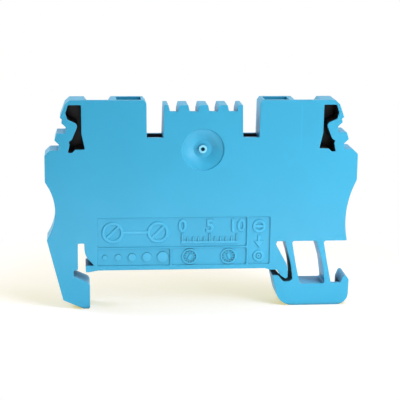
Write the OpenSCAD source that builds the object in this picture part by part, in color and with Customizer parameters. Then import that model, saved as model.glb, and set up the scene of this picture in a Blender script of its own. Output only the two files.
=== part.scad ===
// Feed-through terminal block with tension clamps, for a 35 mm mounting rail.
// The closed side faces -Y and the open side +Y. The rail runs along Y, and the feet stand on z = 0.

/* [Overall size] */
// Length of the block across its shoulders
length = 56.5; // [54:0.5:64]
// Height from the feet to the tower tops
height = 38.4; // [37:0.2:46]
// Thickness of the block along the rail
width = 5.1; // [5:0.1:8]
// Thickness of the closed side
skin = 0.8; // [0.6:0.05:1]
// Thickness of the walls that stand on the closed side
rim = 1; // [0.8:0.05:1.2]

/* [Rail feet] */
// Width of the mounting rail
rail_w = 35; // [34:0.1:36]
// Distance from the middle of the block to the middle of the rail
rail_shift = 3.6; // [3:0.1:4.4]
// Thickness of the rail's brim
brim_t = 1; // [0.8:0.05:1.5]
// Height of the rail seat above the feet
seat_z = 6.9; // [6.5:0.1:8]
// Relief of the body's underside between its two seats
seat_relief = 0.3; // [0.1:0.05:0.6]
// Length of each hook that reaches under the brim
hook_grip = 0.75; // [0.5:0.05:1.2]
// Height at which the legs leave the body
leg_top = 12.3; // [11.6:0.1:13]
// Thickness of the two leaf legs of the latch foot
leaf_t = 0.9; // [0.7:0.05:1.2]
// Thickness of the latch foot's sole
sole_t = 4.1; // [3.4:0.1:4.4]
// Depth of the pry slot beside the latch foot's hook, behind the closed side
pry_depth = 1.6; // [1.2:0.1:2]

/* [Wire clamps] */
// Width of a wire entry
wire_w = 3.9; // [3.4:0.1:4.4]
// Thickness of the wall between a wire entry and its screwdriver shaft
divider = 1.4; // [1:0.1:1.8]
// Width of a screwdriver shaft
driver_w = 4.35; // [3.9:0.05:5]
// Thickness of the wall that closes a shaft on the open side
bridge = 0.7; // [0.5:0.05:0.9]
// Room beside a spring for the screwdriver's blade
blade_gap = 0.4; // [0.3:0.05:0.6]

/* [Cross connection] */
// Width of a jumper slot between the comb and a tower
jumper_w = 2.9; // [2.5:0.1:3.3]
// Depth of a jumper slot below the tower tops
jumper_depth = 6.75; // [6:0.05:8]
// Width of the plug hole below a jumper slot's mouth
jumper_hole = 2.2; // [1.8:0.1:2.4]
// Depth of the wide mouth in a jumper slot's floor
jumper_mouth = 2; // [1.5:0.1:3]

/* [Comb] */
// Drop from the tower tops to the comb's teeth
comb_drop = 0.9; // [0.6:0.1:1.6]
// Depth of the gaps between the teeth
comb_depth = 1.12; // [0.8:0.02:1.6]
// Distance from one gap to the next
comb_pitch = 3.52; // [3:0.02:4]
// Width of a gap at its floor
comb_gap = 1.42; // [1:0.02:1.8]
// Further depth of the gaps behind the closed side
gap_relief = 0.8; // [0.5:0.05:1]

/* [Marker arms] */
// Drop from the tower tops to the shoulders
shoulder_drop = 9.9; // [9.6:0.1:11]
// Height of the upright end faces below the shoulders
shoulder_h = 4.8; // [3.8:0.1:5.4]
// Distance from the block's end in to the upper notch
notch_in = 3.85; // [3.6:0.05:4]
// Drop from the tower tops to the upper notch
notch_drop = 4.82; // [4.6:0.02:5]
// Drop from the upper notch to the lower one
notch_step = 3.1; // [3:0.05:3.2]
// Overhang of the lip above each notch
undercut = 0.8; // [0.6:0.05:0.9]
// Depth of the ledge below each notch
ledge = 1.65; // [1.4:0.05:1.8]
// Distance from the block's end in to the pocket behind the arm
pocket_in = 6.5; // [6.4:0.05:7]

/* [Closed side] */
// Diameter of the dimple
dimple_d = 7.65; // [6:0.05:8]
// Diameter of the dimple's flat floor
dimple_floor_d = 3.3; // [2.6:0.1:4]
// Depth of the dimple
dimple_depth = 1; // [0.6:0.05:1.3]
// Drop from the tower tops to the dimple's middle
dimple_drop = 8.95; // [8.6:0.05:10]
// Outside diameter of the tubular nub in the dimple
nub_d = 1.5; // [1.2:0.1:2]
// Bore of the nub
nub_bore = 0.7; // [0.5:0.05:0.9]
// Height of the nub
nub_h = 0.5; // [0.3:0.05:0.6]
// Depth of the label field
label_depth = 0.2; // [0.1:0.02:0.3]
// Width of the ribs that divide the label field
label_rib = 0.3; // [0.2:0.05:0.5]

/* [Metal] */
// Thickness of the current bar
bar_t = 1; // [0.8:0.05:1.2]
// Height of the current bar's underside
bar_z = 16.4; // [16.2:0.1:18]
// Height of the current bar's legs above its underside
bar_leg = 7.1; // [6:0.1:8]
// Thickness of the spring strip
spring_t = 0.4; // [0.3:0.05:0.5]
// Height of the spring's bow above the current bar's underside
bow_rise = 11.5; // [10.5:0.1:12]
// Height of the spring's window leg above the current bar's underside
window_rise = 3.2; // [3:0.1:3.8]
// Width of the window in the spring
window_w = 2.4; // [2.2:0.1:2.6]
// Clearance round the metal parts
fit = 0.1; // [0.05:0.01:0.15]

/* [Hidden] */
$fn = 48;

// Overlap of cuts past the faces they open
over = 1;
// Radius of the small moulded corners
soft = 0.15;
// Largest share of an edge that a rounded corner may take
edge_share = 0.9;
// Largest turn, in degrees, and largest chord between two points of an arc
arc_step = 12;
arc_chord = 1;

// Faces of the closed side, its inside and the open side
y_closed = -width / 2;
y_floor = y_closed + skin;
y_open = width / 2;

// Stations from the block's end in to its middle
end_x = length / 2;
pocket_x = end_x - pocket_in;
wire_out = pocket_x - rim;
wire_in = wire_out - wire_w;
shaft_out = wire_in - divider;
shaft_in = shaft_out - driver_w;
slot_out = shaft_in - rim;
slot_in = slot_out - jumper_w;
jumper_x = (slot_in + slot_out) / 2;

// Flared mouth of a wire entry
mouth_flare = rim * 0.45;
mouth_drop = 0.6;

// Levels
slot_z = height - jumper_depth;
comb_z = height - comb_drop;
dimple_z = height - dimple_drop;
shoulder_z = height - shoulder_drop;
waist_top = shoulder_z - shoulder_h;
heel_z = leg_top + 0.7;
waist_z = (heel_z + waist_top) / 2;
body_z = seat_z + seat_relief;
hook_z = seat_z - brim_t - fit;

// Rail edges and the hooks' noses under them
rail_l = -rail_shift - rail_w / 2;
rail_r = -rail_shift + rail_w / 2;
nose_l = rail_l + hook_grip;
nose_r = rail_r - hook_grip;

// Fixed foot: the slot that lets the hook tilt round the brim, and the toe
tilt_slot = rail_l - 1.4;
tilt_notch = rail_l - 2.2;
tilt_slot_w = 1.2;
toe_x = rail_l - 4.1;
toe_z = 1.65;
lip_t = 1.25;

// Latch foot: left faces of its two leaves at top, middle and sole
leaf_mid_z = (leg_top + sole_t) / 2;
front_leaf = [rail_r + 1.4, rail_r + 2.6, rail_r + 3.05];
back_leaf = [end_x - 7.1, end_x - 5.85, end_x - 5.3];
leaf_root = 0.45;

// Floor and ends of the notch between the back leaf and the pry hook
pry_z = sole_t + 0.1;
pry_wall = 0.3;
pry_hook = 2.35;

// Metal parts: their span in Y, and the stations of bar and spring
side_play = fit;
open_gap = 0.7;
metal_y = [y_floor + side_play, y_open - open_gap];
metal_mid = (metal_y[0] + metal_y[1]) / 2;
tongue_w = window_w - 3 * fit;
lead_in = 0.35;
bar_face = wire_in + lead_in;
bar_x = bar_face - bar_t / 2;
bar_mid_z = bar_z + bar_t / 2;
bar_bend = 1.3;
tongue_z = bar_mid_z + bar_bend;
leg_x = bar_face - bar_t - fit - spring_t / 2;
clamp_x = shaft_in + blade_gap + spring_t / 2;
bow_r = (leg_x - clamp_x) / 2;
bow_z = bar_z + bow_rise;
window_z = bar_z + window_rise;
window_bar = 1;
window_bend = 0.7;
chamber_z = bow_z + bow_r + 1.1;

function flat(p) = [p[0], p[1]];
function radius(p) = len(p) > 2 ? p[2] : 0;
function unit(v) = v / norm(v);
function turned(v, a) = [v[0] * cos(a) - v[1] * sin(a), v[0] * sin(a) + v[1] * cos(a)];
function arc_steps(r, turn) = ceil(max(abs(turn) / arc_step, abs(turn) * r * PI / 180 / arc_chord));

// Points of an arc about a centre, from one angle to another
function arc(centre, r, from, to) =
    let (steps = arc_steps(r, to - from))
    [for (i = [0:steps]) centre + turned([r, 0], from + (to - from) * i / steps)];

// Points that round the corner c = [x, z, r] between its neighbours p and q
function corner(p, c, q) =
    radius(c) == 0 ? [flat(c)] :
    let (
        u = unit(flat(p) - flat(c)),
        v = unit(flat(q) - flat(c)),
        half = acos(u * v) / 2,
        reach = edge_share * min(norm(flat(p) - flat(c)), norm(flat(q) - flat(c))),
        r = min(radius(c), reach * tan(half)),
        centre = flat(c) + unit(u + v) * r / sin(half),
        spoke = flat(c) + u * r / tan(half) - centre,
        sweep = -sign(cross(u, v)) * (180 - 2 * half),
        steps = arc_steps(r, sweep)
    )
    [for (i = [0:steps]) centre + turned(spoke, sweep * i / steps)];

// Closed outline of corners [x, z, r]
function rounded(pts) =
    let (n = len(pts))
    [for (i = [0:n - 1]) each corner(pts[(i + n - 1) % n], pts[i], pts[(i + 1) % n])];

// The same corners on the left half, in the order that keeps the outline's sense
function mirrored(pts) =
    [for (i = [len(pts) - 1:-1:0]) [-pts[i][0], pts[i][1], radius(pts[i])]];

// Outline of a bent strip of thickness t along a centre line
function strip(path, t) =
    let (
        n = len(path) - 1,
        way = [for (i = [0:n]) unit(path[min(i + 1, n)] - path[max(i - 1, 0)])],
        side = [for (w = way) [-w[1], w[0]] * t / 2]
    )
    concat([for (i = [0:n]) path[i] + side[i]], [for (i = [n:-1:0]) path[i] - side[i]]);

// A notch of the marker arm, from its ledge up to the lip that overhangs it
function arm_notch(i) =
    let (root = [end_x - notch_in + 1.25 * i, height - notch_drop - notch_step * i])
    [
        [root[0] + ledge, root[1] - 1.07],
        [root[0] + 0.1, root[1] - 1.05, soft],
        [root[0], root[1], soft],
        [root[0] + undercut, root[1] + undercut - 0.04, soft / 2],
    ];

// Right end of the block from its shoulder up to the comb
end_corners = concat(
    [
        [end_x, waist_top, 0.6],
        [end_x, shoulder_z, 0.35],
    ],
    arm_notch(1),
    arm_notch(0),
    [
        [end_x - notch_in + 0.65, height - notch_drop + 1.39],
        [end_x - notch_in + 1.05, height - notch_drop + 1.72, soft / 2],
        [end_x - notch_in + 0.2, height - 0.75, 0.4],
        [end_x - notch_in - 0.65, height, 0.4],
        [slot_out + 0.55, height, soft],
        [slot_out + 0.08, height - 0.6, soft],
        [slot_out, slot_z],
        [slot_in, slot_z],
        [slot_in - soft, comb_z],
    ]
);

// Comb between the jumper slots, from right to left
gap_count = round((2 * slot_in - comb_gap) / comb_pitch);
gap_flare = 0.28;
function gap_x(i) = comb_pitch * (i - (gap_count - 1) / 2);
comb_corners = [
    for (i = [gap_count - 1:-1:0])
        let (x = gap_x(i))
        for (p = [
            [x + comb_gap / 2 + gap_flare, comb_z, soft],
            [x + comb_gap / 2, comb_z - comb_depth],
            [x - comb_gap / 2, comb_z - comb_depth],
            [x - comb_gap / 2 - gap_flare, comb_z, soft]
        ]) p
];

// Fixed foot from its heel round the hook to the left rail seat
fixed_foot_corners = [
    [-end_x + 3.3, waist_z, 9.3],
    [-end_x + 0.2, heel_z, 0.5],
    [toe_x, toe_z, 0.3],
    [rail_l - 0.4, 0, 0.5],
    [nose_l, 0, 0.3],
    [nose_l, hook_z - 1.05, 0.9],
    [tilt_notch, hook_z + 0.28, soft],
    [tilt_notch, seat_z + 0.35, soft],
    [tilt_slot, seat_z + 0.5, soft],
    [tilt_slot, leg_top, 0.25],
    [tilt_slot + tilt_slot_w, leg_top, 0.25],
    [tilt_slot + tilt_slot_w, seat_z + 3.2, 3],
    [rail_l + 1.5, seat_z + lip_t],
    [rail_l, seat_z + lip_t, soft],
    [rail_l, seat_z, soft],
    [rail_l + 0.6, seat_z],
    [rail_l + 2.3, body_z],
];

// Right rail seat, and the tongue that stops the latch foot
tongue_corners = [
    [rail_r - 2.2, body_z],
    [rail_r - 1.2, seat_z],
    [rail_r, seat_z],
    [rail_r + 0.75, hook_z, 0.4],
    [rail_r + 1.75, hook_z - 0.7, 0.3],
    [rail_r + 2.1, hook_z - 0.4, 0.2],
    [rail_r + 2.05, hook_z + 1.8, 3],
    [rail_r - 0.2, leg_top - 0.6, 0.3],
    [rail_r, leg_top, 0.25],
];

// Latch foot from its front leaf round the hook and the sole to the pry hook
latch_foot_corners = [
    [front_leaf[0], leg_top, 0.25],
    [front_leaf[1], leaf_mid_z, 12],
    [front_leaf[2], sole_t + 0.5, 0.75],
    [rail_r + 1.3, sole_t + 0.5, 0.6],
    [rail_r + 0.3, hook_z, 0.2],
    [nose_r, hook_z, soft],
    [rail_r + 0.6, 0, 3.2],
    [end_x - 0.85, 0, 2.2],
    [end_x - 0.75, sole_t + 0.7, 0.3],
    [end_x - 1.6, sole_t + 1.95, 0.25],
    [end_x - pry_hook, pry_z],
    [back_leaf[2] + leaf_t + pry_wall, pry_z],
    [back_leaf[1] + leaf_t, leaf_mid_z, 20],
    [back_leaf[0] + leaf_t + leaf_root, leg_top, 0.4],
    [end_x - 1.4, leg_top, 0.2],
    [end_x - 2.5, waist_z, 17],
];

// Window between the leaves of the latch foot
leaf_window_corners = [
    [front_leaf[0] + leaf_t + leaf_root, leg_top, 0.35],
    [front_leaf[1] + leaf_t, leaf_mid_z, 8],
    [front_leaf[2] + leaf_t + leaf_root, sole_t, 0.5],
    [back_leaf[2], sole_t, 0.35],
    [back_leaf[1], leaf_mid_z, 12],
    [back_leaf[0], leg_top, 0.35],
];

// Pocket behind a marker arm, which leaves the arm as a springy lip with a round boss
arm_pocket_corners = [
    [pocket_x, height - 0.85, soft],
    [pocket_x - 0.05, height - 6, 0.4],
    [pocket_x - 0.65, height - 8.8, soft],
    [end_x - 5.4, height - 8.85, 0.2],
    [end_x - 4.9, height - 9.4, soft],
    [end_x - 4.15, height - 9.4, soft],
    [end_x - 4.45, height - 7.95, soft],
    [end_x - 4.3, height - 7.4, soft],
    [end_x - 4.85, height - 7.05, 0.3],
    [end_x - 6.02, height - 4.3, 0.75],
    [end_x - 4.1, height - 3.42, soft],
    [end_x - 3.75, height - 2.35, 0.4],
    [end_x - 4.2, height - 0.85, soft],
];

// A side shape, drawn in X and Z, as a slab from y0 to y1
module slab(y0, y1) {
    translate([0, y1, 0])
        rotate([90, 0, 0])
            linear_extrude(y1 - y0)
                children();
}

// A box from its low corner to its high corner
module span(low, high) {
    translate(low)
        cube(high - low);
}

// Its children on the right and, mirrored, on the left
module both_ends() {
    children();
    mirror([1, 0, 0])
        children();
}

module housing_side() {
    difference() {
        polygon(rounded(concat(
            fixed_foot_corners,
            tongue_corners,
            latch_foot_corners,
            end_corners,
            comb_corners,
            mirrored(end_corners)
        )));
        polygon(rounded(leaf_window_corners));
    }
}

// Clamp chamber of the right end, with its wire entry and screwdriver shaft
module clamp_chamber() {
    slab(y_floor, y_open + over)
        polygon([
            [shaft_in, bar_z - fit],
            [wire_out, bar_z - fit],
            [wire_out, height - mouth_drop],
            [wire_out + mouth_flare, height],
            [wire_out + mouth_flare, height + over],
            [wire_in - mouth_flare, height + over],
            [wire_in - mouth_flare, height],
            [wire_in, height - mouth_drop],
            [wire_in, height - 1.5],
            [bar_face, height - 4.5],
            [bar_face, chamber_z],
            [shaft_in, chamber_z]
        ]);
    span([shaft_in, y_floor, chamber_z - over], [shaft_out, y_open - bridge, height + over]);
}

// Hole from the right jumper slot down to the current bar, and past it for the plug's tip
module jumper_well() {
    span(
        [slot_in, y_floor, slot_z - jumper_mouth],
        [slot_out, y_open - bridge, slot_z + over]
    );
    span(
        [jumper_x - jumper_hole / 2, y_floor + 0.4, bar_z - 2],
        [jumper_x + jumper_hole / 2, y_open - bridge, slot_z + over]
    );
    span(
        [jumper_x - jumper_hole / 2, y_floor, bar_z],
        [jumper_x + jumper_hole / 2, y_open + over, slot_z - 5.5]
    );
}

// Coring of the shoulder, from the open side; waist is the outline's corner at the waist
module shoulder_core(waist, base_z) {
    slab(y_floor, y_open + over)
        polygon(rounded([
            [pocket_x, base_z, soft],
            [end_x - waist / 2 - rim, base_z, soft],
            [end_x - waist - rim, waist_z, 12],
            [end_x - rim, waist_top, 0.6],
            [end_x - rim, shoulder_z - rim, 0.3],
            [pocket_x, shoulder_z - rim - 0.3, soft],
        ]));
}

// Coring of the fixed foot between its outer wall and the tilt slot
module foot_core() {
    lean = (toe_x + end_x - 0.2) / (heel_z - toe_z);
    core_low = seat_z + 1.3;
    core_high = heel_z - 0.6;
    slab(y_floor, y_open + over)
        polygon(rounded([
            [toe_x - lean * (core_low - toe_z) + rim, core_low, soft],
            [tilt_slot - rim, core_low, soft],
            [tilt_slot - rim, core_high, soft],
            [toe_x - lean * (core_high - toe_z) + rim, core_high, soft],
        ]));
}

// Coring below the current bar, in equal bays between ribs
module base_core() {
    bays = 4;
    low = [rail_l + 2.5, body_z + rim];
    high = [rail_r - 1.3, bar_z - fit - rim];
    bay = (high[0] - low[0] + rim) / bays;
    for (i = [0:bays - 1])
        span(
            [low[0] + bay * i, y_floor, low[1]],
            [low[0] + bay * (i + 1) - rim, y_open + over, high[1]]
        );
}

// Relief of the comb's gaps behind the closed side
module comb_relief() {
    for (i = [0:gap_count - 1])
        span(
            [gap_x(i) - comb_gap / 2, y_floor, comb_z - comb_depth - gap_relief],
            [gap_x(i) + comb_gap / 2, y_open + over, comb_z + over]
        );
}

// Slot for a screwdriver's tip between the latch foot's back leaf and its hook
module pry_slot() {
    span(
        [back_leaf[2] + leaf_t + pry_wall, y_floor, pry_z - pry_depth],
        [end_x - pry_hook, y_open + over, pry_z + over]
    );
}

// Coring under the comb, round the boss that carries the dimple
module centre_core() {
    boss = rim * 0.6;
    difference() {
        span(
            [-slot_in + rim, y_floor, bar_z + bar_t + fit + rim],
            [slot_in - rim, y_open + over, comb_z - comb_depth - gap_relief - rim]
        );
        dimple_cone(boss, y_floor - over, y_closed + dimple_depth + skin);
    }
}

// Cone of the dimple, grown by g on its radius, from y0 to its floor at y1
module dimple_cone(g, y0, y1) {
    slope = (dimple_d - dimple_floor_d) / 2 / dimple_depth;
    floor_r = dimple_floor_d / 2 + g;
    translate([0, y0, dimple_z])
        rotate([-90, 0, 0])
            cylinder(h = y1 - y0, r1 = floor_r + slope * (y1 - y0), r2 = floor_r);
}

module dimple() {
    difference() {
        dimple_cone(0, y_closed - over, y_closed + dimple_depth);
        nub_floor = y_closed + dimple_depth;
        translate([0, nub_floor + over, dimple_z])
            rotate([90, 0, 0])
                difference() {
                    cylinder(h = nub_h + over, d = nub_d);
                    translate([0, 0, over])
                        cylinder(h = nub_h + over, d = nub_bore);
                }
    }
}

// Label field on the closed side, divided by ribs that stand flush with the face
module label_field() {
    left = rail_l + 2.1;
    right = rail_r - 1.4;
    low = body_z + 0.85;
    high = leg_top + 4.7;
    rib_z = leg_top - 1.1;
    side_rib = right - 4;
    low_rib = left + 13.2;
    cells = [
        [left, rib_z + label_rib, side_rib - label_rib, high],
        [left, low, low_rib, rib_z],
        [low_rib + label_rib, low, side_rib - label_rib, rib_z],
        [side_rib, low, right, high],
    ];
    for (c = cells)
        slab(y_closed - over, y_closed + label_depth)
            polygon(rounded([
                [c[0], c[1], 2 * soft],
                [c[2], c[1], 2 * soft],
                [c[2], c[3], 2 * soft],
                [c[0], c[3], 2 * soft],
            ]));
}

module housing() {
    color([0.33, 0.73, 0.9])
        difference() {
            slab(y_closed, y_open)
                housing_side();
            both_ends() {
                clamp_chamber();
                jumper_well();
                slab(y_closed - over, y_open - skin)
                    polygon(rounded(arm_pocket_corners));
            }
            shoulder_core(2.5, leg_top + rim);
            mirror([1, 0, 0])
                shoulder_core(3.3, heel_z + rim);
            foot_core();
            base_core();
            centre_core();
            comb_relief();
            pry_slot();
            span([-shaft_in - over, y_floor, bar_z - fit], [shaft_in + over, y_open + over, bar_z + bar_t + fit]);
            dimple();
            label_field();
        }
}

// Current bar: a tinned strip with a leg at each end and a hole under each jumper slot
module current_bar() {
    half = concat(
        [[bar_x, bar_z + bar_leg]],
        arc([bar_x - bar_bend, bar_mid_z + bar_bend], bar_bend, 0, -90)
    );
    path = concat(half, [for (i = [len(half) - 1:-1:0]) [-half[i][0], half[i][1]]]);
    hole_w = jumper_hole - 2 * fit;
    color([0.82, 0.8, 0.76])
        difference() {
            slab(metal_y[0], metal_y[1])
                polygon(strip(path, bar_t));
            both_ends() {
                for (y = [metal_y[0] - over, metal_mid + tongue_w / 2])
                    span(
                        [bar_x - bar_t, y, tongue_z],
                        [bar_x + bar_t, y + over + (metal_y[1] - metal_y[0] - tongue_w) / 2, bar_z + bar_leg + over]
                    );
                span(
                    [jumper_x - hole_w / 2, metal_mid - hole_w / 3, bar_z - over],
                    [jumper_x + hole_w / 2, metal_mid + hole_w / 3, bar_z + bar_t + over]
                );
            }
        }
}

// Tension clamp of the right end: contact leg on the bar, bow, and a leg whose window grips the wire
module clamp_spring() {
    seam = window_z + 3;
    upper = concat(
        [[leg_x, window_z - 1]],
        arc([leg_x - bow_r, bow_z], bow_r, 0, 180),
        [[clamp_x, seam]]
    );
    lower = concat(
        [[clamp_x, seam + over]],
        arc([clamp_x + window_bend, window_z + window_bend], window_bend, 180, 270),
        [[bar_face + fit + window_bar, window_z]]
    );
    color([0.74, 0.75, 0.77]) {
        difference() {
            slab(metal_y[0], metal_y[1])
                polygon(strip(upper, spring_t));
            for (y = [metal_y[0] - over, metal_mid + tongue_w / 2])
                span(
                    [leg_x - spring_t, y, window_z - 2],
                    [leg_x + spring_t, y + over + (metal_y[1] - metal_y[0] - tongue_w) / 2, window_z + 1.2]
                );
        }
        difference() {
            slab(metal_y[0], metal_y[1])
                polygon(strip(lower, spring_t));
            span(
                [leg_x - spring_t / 2 - 0.9, metal_mid - window_w / 2, window_z - over],
                [bar_face + fit, metal_mid + window_w / 2, window_z + over]
            );
        }
    }
}

module clamp_spring_left() {
    mirror([1, 0, 0])
        clamp_spring();
}

module clamp_spring_right() {
    clamp_spring();
}

housing();
current_bar();
clamp_spring_left();
clamp_spring_right();
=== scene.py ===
"""Feed-through terminal block: finishes, moulded marks, clamp strips, light and camera on its CAD frame."""

import logging
import math
from dataclasses import dataclass, field
from enum import Enum

import bmesh
import bpy
from mathutils import Matrix, Vector


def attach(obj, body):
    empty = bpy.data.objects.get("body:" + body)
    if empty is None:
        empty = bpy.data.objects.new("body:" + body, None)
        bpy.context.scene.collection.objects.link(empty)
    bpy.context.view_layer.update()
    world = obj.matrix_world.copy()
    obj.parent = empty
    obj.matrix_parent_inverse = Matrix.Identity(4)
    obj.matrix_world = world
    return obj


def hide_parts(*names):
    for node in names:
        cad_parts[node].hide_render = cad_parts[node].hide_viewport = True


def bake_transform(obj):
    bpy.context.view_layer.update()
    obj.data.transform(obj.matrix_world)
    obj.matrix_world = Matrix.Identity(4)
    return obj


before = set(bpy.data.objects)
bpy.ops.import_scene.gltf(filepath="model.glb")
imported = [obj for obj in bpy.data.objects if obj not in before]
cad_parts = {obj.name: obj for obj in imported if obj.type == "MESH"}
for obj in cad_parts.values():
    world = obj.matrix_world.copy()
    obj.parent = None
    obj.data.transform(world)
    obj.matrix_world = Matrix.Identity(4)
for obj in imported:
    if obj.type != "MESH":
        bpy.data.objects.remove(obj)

LOG = logging.getLogger("terminal_block")
MM = 0.001
MERGE_M = 1e-7
CUT_M = 1e-8
STEP_MM = 1e-6
WHITE = (1.0, 1.0, 1.0)
LONG_EVERY = 5

Socket = bpy.types.NodeSocket
Span = tuple[float, float]
Point = tuple[float, float]
Place = tuple[float, float, float]
Colour = tuple[float, float, float]


class Body(str, Enum):
    """Bodies that the pieces ride on."""

    BLOCK = "block"
    SPRING_LEFT = "spring_left"
    SPRING_RIGHT = "spring_right"


class Slot(str, Enum):
    """Material slots of the record."""

    MOULDED = "moulded_blue"
    TIN = "tinned_copper"
    SPRING = "spring_steel"


class End(Enum):
    """The two ends of the block, as the sign of X."""

    LEFT = -1
    RIGHT = 1


class Graph:
    """Short ways to add and join the nodes of one tree."""

    NOISE_MIDDLE: Span = (0.3, 0.7)

    def __init__(self, tree: bpy.types.NodeTree) -> None:
        """Takes an empty or filled node tree."""
        self.tree = tree

    def link(self, source: Socket, target: Socket) -> None:
        """Joins two sockets."""
        self.tree.links.new(source, target)

    def add(self, kind: str, inputs: dict | None = None, **settings: object) -> bpy.types.NodeOutputs:
        """Adds a node.

        Args:
            kind: The node's type name.
            inputs: A socket or a value for each input, by the input's name or number.
            settings: Properties to set on the node.

        Returns:
            The outputs of the new node.
        """
        node = self.tree.nodes.new(kind)
        for key, value in settings.items():
            setattr(node, key, value)
        for key, value in (inputs or {}).items():
            if isinstance(value, Socket):
                self.link(value, node.inputs[key])
            else:
                node.inputs[key].default_value = value
        return node.outputs

    def math(self, operation: str, first: object, second: object = 0.0) -> Socket:
        """Adds a Math node on two sockets or numbers and returns its value."""
        return self.add("ShaderNodeMath", {0: first, 1: second}, operation=operation)[0]

    def vector_math(self, operation: str, first: Socket, second: Place = (0.0, 0.0, 0.0)) -> Socket:
        """Adds a Vector Math node on a socket and a fixed vector and returns its vector."""
        return self.add("ShaderNodeVectorMath", {0: first, 1: second}, operation=operation)["Vector"]

    def vector(self, x: object, y: object, z: object) -> Socket:
        """Joins three numbers or sockets and returns the vector."""
        return self.add("ShaderNodeCombineXYZ", {0: x, 1: y, 2: z})[0]

    def parts(self, vector: Socket) -> tuple[Socket, Socket, Socket]:
        """Splits a vector and returns its X, Y and Z."""
        return tuple(self.add("ShaderNodeSeparateXYZ", {0: vector}))

    def noise(self, vector: Socket, scale: float, detail: float) -> Socket:
        """Adds a noise on the given coordinates and returns its value socket."""
        return self.add("ShaderNodeTexNoise", {"Vector": vector, "Scale": scale, "Detail": detail})[0]

    def map_range(
        self, value: Socket, source: Span, target: Span = (0.0, 1.0), smooth: bool = False
    ) -> Socket:
        """Maps a value from one range to another.

        Args:
            value: The value's socket.
            source: The two ends of its range.
            target: What the ends become.
            smooth: Whether the way between them is eased.

        Returns:
            The result's socket.
        """
        inputs = dict(zip(("Value", "From Min", "From Max", "To Min", "To Max"), (value, *source, *target)))
        way = "SMOOTHSTEP" if smooth else "LINEAR"
        return self.add("ShaderNodeMapRange", inputs, interpolation_type=way)[0]

    def spread(self, value: Socket, low: float, high: float) -> Socket:
        """Maps a value from the middle of a noise to a range and returns the result."""
        return self.map_range(value, self.NOISE_MIDDLE, (low, high))

    def mix_colours(self, factor: Socket, first: object, second: object) -> Socket:
        """Mixes two colours, each a socket or a set colour, by a factor and returns the result."""
        a, b = (c if isinstance(c, Socket) else (*c, 1.0) for c in (first, second))
        return self.add("ShaderNodeMix", {"Factor": factor, "A": a, "B": b}, data_type="RGBA")["Result"]

    def bump(self, height: Socket, strength: float, distance: float) -> Socket:
        """Adds a bump of the given height and returns its normal."""
        inputs = {"Height": height, "Strength": strength, "Distance": distance}
        return self.add("ShaderNodeBump", inputs)[0]

    def plain_shader(self, kind: str, colour: Colour) -> Socket:
        """Adds a shader of one colour and returns it."""
        return self.add(kind, {"Color": (*colour, 1.0)})[0]

    def mix_shaders(self, factor: Socket, first: Socket, second: Socket) -> Socket:
        """Mixes two shaders by a factor and returns the result."""
        return self.add("ShaderNodeMixShader", {0: factor, 1: first, 2: second})[0]


def new_material(name: str) -> tuple[bpy.types.Material, Graph, bpy.types.Node]:
    """Makes a node material.

    Args:
        name: Its name.

    Returns:
        The material, its graph and its shader.
    """
    material = bpy.data.materials.new(name)
    material.use_nodes = True
    return material, Graph(material.node_tree), material.node_tree.nodes["Principled BSDF"]


@dataclass(frozen=True)
class ShadeBox:
    """A box of the housing, with a soft edge, that limits a painted shade or a painted highlight. All sizes
    are in mm.
    """

    low: Place
    high: Place
    edge: float = 0.05

    def mask(self, graph: Graph, place: Socket) -> Socket:
        """Builds the nodes that are 1 inside the box and 0 outside.

        Args:
            graph: The material's graph.
            place: Object coordinates.

        Returns:
            The mask's socket.
        """
        middle = tuple((a + b) / 2 * MM for a, b in zip(self.low, self.high))
        half = tuple((b - a) / 2 * MM for a, b in zip(self.low, self.high))
        away = graph.vector_math("ABSOLUTE", graph.vector_math("SUBTRACT", place, middle))
        x, y, z = graph.parts(graph.vector_math("SUBTRACT", away, half))
        widest = graph.math("MAXIMUM", graph.math("MAXIMUM", x, y), z)
        return graph.map_range(widest, (self.edge * MM, -self.edge * MM), smooth=True)


@dataclass(frozen=True)
class CornerShade:
    """Painted shade in corners and gaps, darker where less open air is found.

    It looks a reach in metres round each place, and starts and is full at two shares of open air. Alone, it
    looks at the piece's own faces only.
    """

    reach: float
    open_shares: Span
    alone: bool
    full: float = 0.95
    samples: int = 8

    def depth(self, graph: Graph) -> Socket:
        """Builds the nodes that find where the shade is painted.

        Args:
            graph: The material's graph.

        Returns:
            The socket of the painted shade, which is 0 on open faces.
        """
        settings = {"samples": self.samples, "only_local": self.alone}
        open_air = graph.add("ShaderNodeAmbientOcclusion", {"Distance": self.reach}, **settings)["AO"]
        return graph.map_range(open_air, self.open_shares, (0.0, self.full))


# Painted shade: in tight corners everywhere, and in the wider gaps of the feet.
TIGHT_CORNER_SHADE = CornerShade(0.0012, (0.80, 0.22), alone=False)
FOOT_GAP_SHADE = CornerShade(0.0030, (0.70, 0.25), alone=True)


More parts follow.
